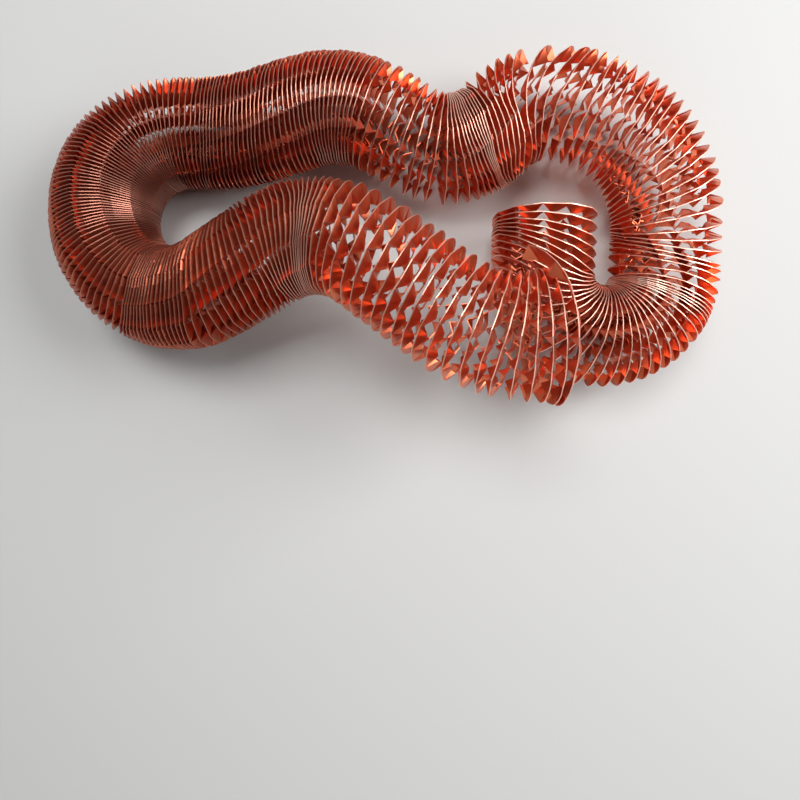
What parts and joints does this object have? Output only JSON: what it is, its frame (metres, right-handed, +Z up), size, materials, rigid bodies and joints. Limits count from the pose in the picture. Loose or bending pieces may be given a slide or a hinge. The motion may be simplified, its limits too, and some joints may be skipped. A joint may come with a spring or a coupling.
{
  "type": "pleated copper fin winding",
  "caption": "Flexible finned sleeve: one copper strip wound on edge, with a plain rim and a pleated bore edge, lying in loops with its stretched end across its tail.",
  "frame": {"origin": "centre of the bounding box at floor level, under the loops", "axes": "+Z up, the long way of the looped sleeve along X, the open stretched end facing +X"},
  "size_m": [0.2574, 0.1328, 0.0824],
  "materials": {
    "copper_strip": "bright rolled copper, plain metal"
  },
  "bodies": {
    "root": {"fin_strip": "copper_strip"}
  },
  "joints": []
}
